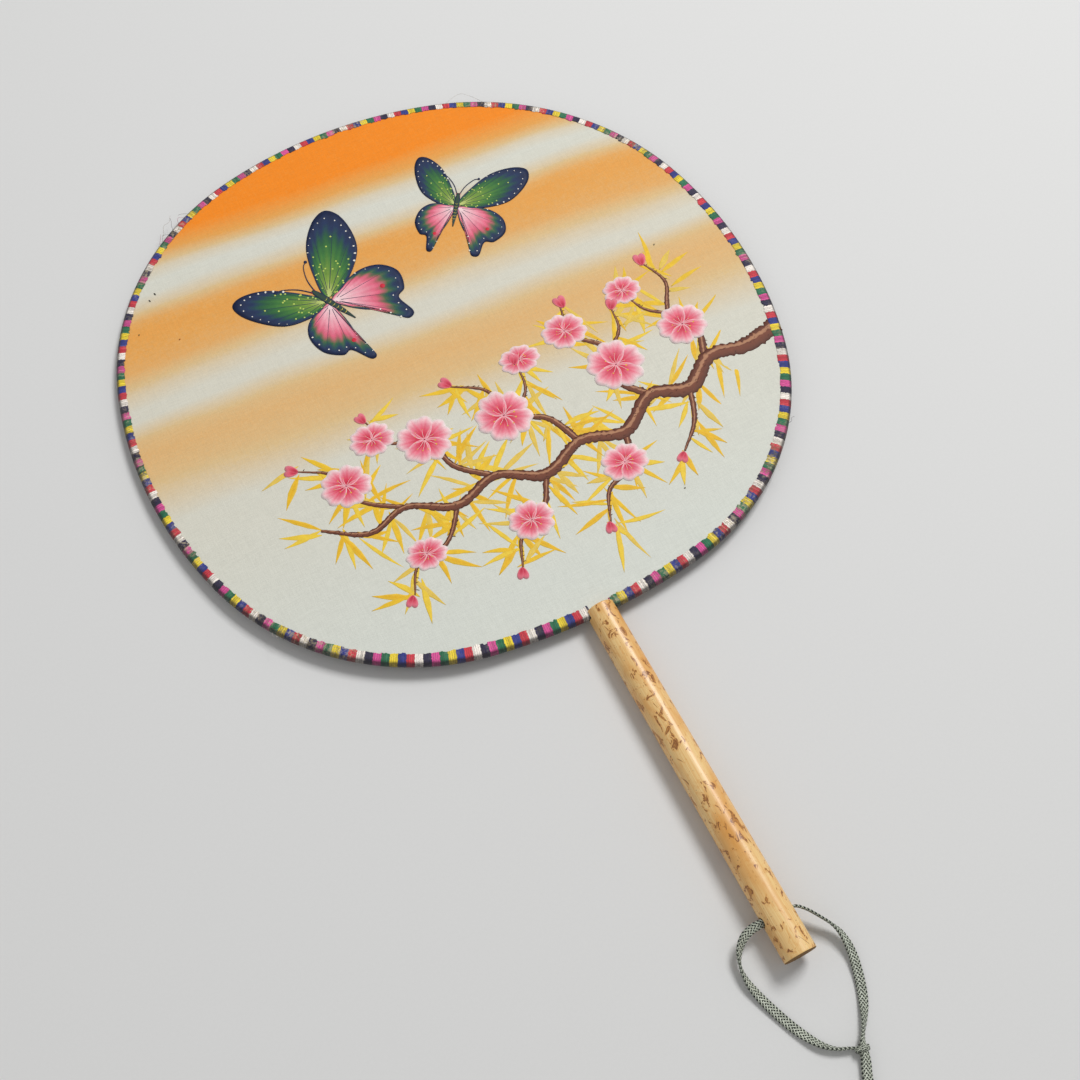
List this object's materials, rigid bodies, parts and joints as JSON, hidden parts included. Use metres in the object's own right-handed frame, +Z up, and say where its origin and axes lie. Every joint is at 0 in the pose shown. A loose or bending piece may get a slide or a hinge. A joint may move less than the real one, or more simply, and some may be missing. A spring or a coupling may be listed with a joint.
{
  "type": "round hand fan",
  "caption": "Round rigid hand fan: painted silk stretched on a wire hoop, edged with striped woven tape, on a slotted cane handle with a braided wrist cord and a tassel.",
  "frame": {"origin": "the point on the floor below the middle of the fan's box, measured without the cord and the tassel", "axes": "+Z up, away from the floor on which the fan lies on its back with the painted side up; +Y along the fan from the handle to the crown of the hoop; +X across the hoop, to the right seen from above with the handle towards the viewer"},
  "size_m": [0.26, 0.5103, 0.0136],
  "materials": {
    "steel_wire": "drawn",
    "wrapping_paper": "matt",
    "silk": "satin",
    "woven_tape": "satin",
    "cane": "lacquered",
    "braid": "satin",
    "tassel_thread": "satin"
  },
  "bodies": {
    "root": {"rim_wire": "steel_wire", "wire_wrap": "wrapping_paper", "silk_screen": "silk", "edge_binding": "woven_tape", "handle": "cane", "cord_loop": "braid", "cord_knot": "braid", "cord_tail": "braid", "tassel_head": "tassel_thread", "tassel_neck": "tassel_thread", "tassel_skirt": "tassel_thread"}
  },
  "joints": []
}
